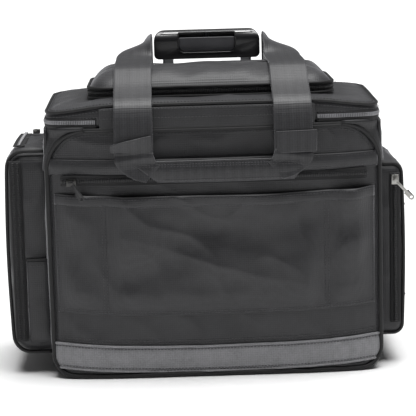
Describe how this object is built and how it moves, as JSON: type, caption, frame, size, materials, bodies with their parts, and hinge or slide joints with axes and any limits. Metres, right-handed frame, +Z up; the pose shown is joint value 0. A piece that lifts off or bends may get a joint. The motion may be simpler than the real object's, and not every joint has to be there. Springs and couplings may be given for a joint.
{
  "type": "wheeled flight bag",
  "caption": "Soft black wheeled flight bag with a hinged zipped lid, front slip pocket, side pockets, web carry handle and telescopic trolley handle.",
  "frame": {"origin": "on the floor, at the middle of the underside of the base board", "axes": "+Z up, -Y towards the front with the slip pocket, +X to the right as seen from the front"},
  "size_m": [0.5212, 0.292, 0.421],
  "materials": {
    "shell_fabric": "black woven polyester",
    "gusset_fabric": "black woven polyester",
    "piping": "black bound piping",
    "grey_fabric": "grey woven polyester",
    "webbing": "black ribbed webbing",
    "zip_tape": "black zip tape with nylon coil",
    "moulding": "black moulded plastic",
    "grip_plastic": "semi-gloss black plastic",
    "button_plastic": "dark grey plastic",
    "tube_metal": "satin anodised",
    "slider_metal": "nickel plated",
    "pull_dark": "dark painted",
    "screw_steel": "zinc plated",
    "tyre_rubber": "matt black",
    "hub_plastic": "grey plastic"
  },
  "bodies": {
    "case": {"base_board": "moulding", "front_panel": "shell_fabric", "rear_panel": "shell_fabric", "left_gusset": "gusset_fabric", "right_gusset": "gusset_fabric", "rim_band": "gusset_fabric", "front_piping": "piping", "rear_piping": "piping", "grey_band": "grey_fabric", "pocket_welt": "shell_fabric", "front_zip": "zip_tape", "slip_pocket": "shell_fabric", "left_pocket": "shell_fabric", "left_pocket_zip": "zip_tape", "left_pen_pocket": "shell_fabric", "left_pocket_tab": "gusset_fabric", "right_pocket": "shell_fabric", "right_pocket_zip": "zip_tape", "side_tabs": "webbing", "handle_anchors": "webbing", "trolley_cover": "gusset_fabric", "trolley_bezel": "moulding", "tube_foot": "moulding", "outer_tubes": "tube_metal", "left_wheel_housing": "moulding", "right_wheel_housing": "moulding", "wheel_axles": "screw_steel", "housing_screws": "screw_steel"},
    "lid": {"lid_panel": "shell_fabric", "lid_band": "shell_fabric", "lid_piping": "piping", "lid_zip": "zip_tape", "hinge_panel": "shell_fabric", "top_pocket": "shell_fabric", "top_pocket_piping": "piping", "top_pocket_zip": "zip_tape"},
    "handle_roots": {"web_roots": "webbing"},
    "handle_loop": {"web_leg_left": "webbing", "web_leg_right": "webbing", "web_grip": "webbing"},
    "trolley_lower": {"mid_tubes": "tube_metal", "mid_collars": "moulding"},
    "trolley_upper": {"inner_tubes": "tube_metal", "grip_front": "grip_plastic", "grip_rear": "grip_plastic", "grip_screws": "screw_steel"},
    "release": {"push_button": "button_plastic", "release_rods": "screw_steel", "button_spring": "screw_steel"},
    "left_wheel": {"left_tyre": "tyre_rubber", "left_hub": "hub_plastic"},
    "right_wheel": {"right_tyre": "tyre_rubber", "right_hub": "hub_plastic"},
    "front_zip_slider": {"front_slider": "slider_metal"},
    "front_zip_pull": {"front_pull": "pull_dark"},
    "right_zip_slider": {"right_slider": "slider_metal"},
    "right_zip_pull": {"right_pull": "slider_metal"},
    "lid_zip_slider": {"lid_slider": "slider_metal"},
    "left_zip_slider": {"left_slider": "slider_metal"}
  },
  "joints": [
    {"name": "lid_hinge", "type": "hinge", "parent": "case", "child": "lid", "pos_m": [0, -0.1235, 0.3194], "axis": [1, 0, 0], "range_deg": [0, 90]},
    {"name": "handle_root", "type": "hinge", "parent": "case", "child": "handle_roots", "pos_m": [0, 0.112, 0.32], "axis": [-1, 0, 0], "range_deg": [0, 95]},
    {"name": "handle_peak", "type": "hinge", "parent": "handle_roots", "child": "handle_loop", "pos_m": [0, 0.118, 0.418], "axis": [-1, 0, 0], "range_deg": [0, 170]},
    {"name": "trolley_lower_slide", "type": "slide", "parent": "case", "child": "trolley_lower", "axis": [0, 0, 1], "range_m": [0, 0.22]},
    {"name": "trolley_upper_slide", "type": "slide", "parent": "trolley_lower", "child": "trolley_upper", "axis": [0, 0, 1], "range_m": [0, 0.22]},
    {"name": "release_button", "type": "slide", "parent": "trolley_upper", "child": "release", "axis": [0, 0, 1], "range_m": [0, 0.005], "stiffness_N_per_m": 400, "deforming": ["button_spring"]},
    {"name": "left_wheel_spin", "type": "hinge", "parent": "case", "child": "left_wheel", "pos_m": [-0.172, 0.112, 0.0305], "axis": [1, 0, 0], "continuous": true},
    {"name": "right_wheel_spin", "type": "hinge", "parent": "case", "child": "right_wheel", "pos_m": [0.172, 0.112, 0.0305], "axis": [1, 0, 0], "continuous": true},
    {"name": "front_zip_run", "type": "slide", "parent": "case", "child": "front_zip_slider", "axis": [1, 0, 0], "range_m": [0, 0.355]},
    {"name": "front_pull_swing", "type": "hinge", "parent": "front_zip_slider", "child": "front_zip_pull", "pos_m": [-0.177, -0.1324, 0.253], "axis": [0, 1, 0], "range_deg": [-35, 95]},
    {"name": "right_zip_run", "type": "slide", "parent": "case", "child": "right_zip_slider", "axis": [0, 0, -1], "range_m": [0, 0.17]},
    {"name": "right_pull_swing", "type": "hinge", "parent": "right_zip_slider", "child": "right_zip_pull", "pos_m": [0.229, -0.0982, 0.24], "axis": [0, 1, 0], "range_deg": [-40, 72]},
    {"name": "lid_zip_run", "type": "slide", "parent": "lid", "child": "lid_zip_slider", "axis": [0, -1, 0], "range_m": [0, 0.12]},
    {"name": "left_zip_run", "type": "slide", "parent": "case", "child": "left_zip_slider", "axis": [0, -1, 0], "range_m": [0, 0.07]}
  ],
  "couplings": [
    {"joint": "handle_root", "follows": "lid_hinge", "ratio": 1.05},
    {"joint": "handle_peak", "follows": "lid_hinge", "ratio": 1.88}
  ]
}
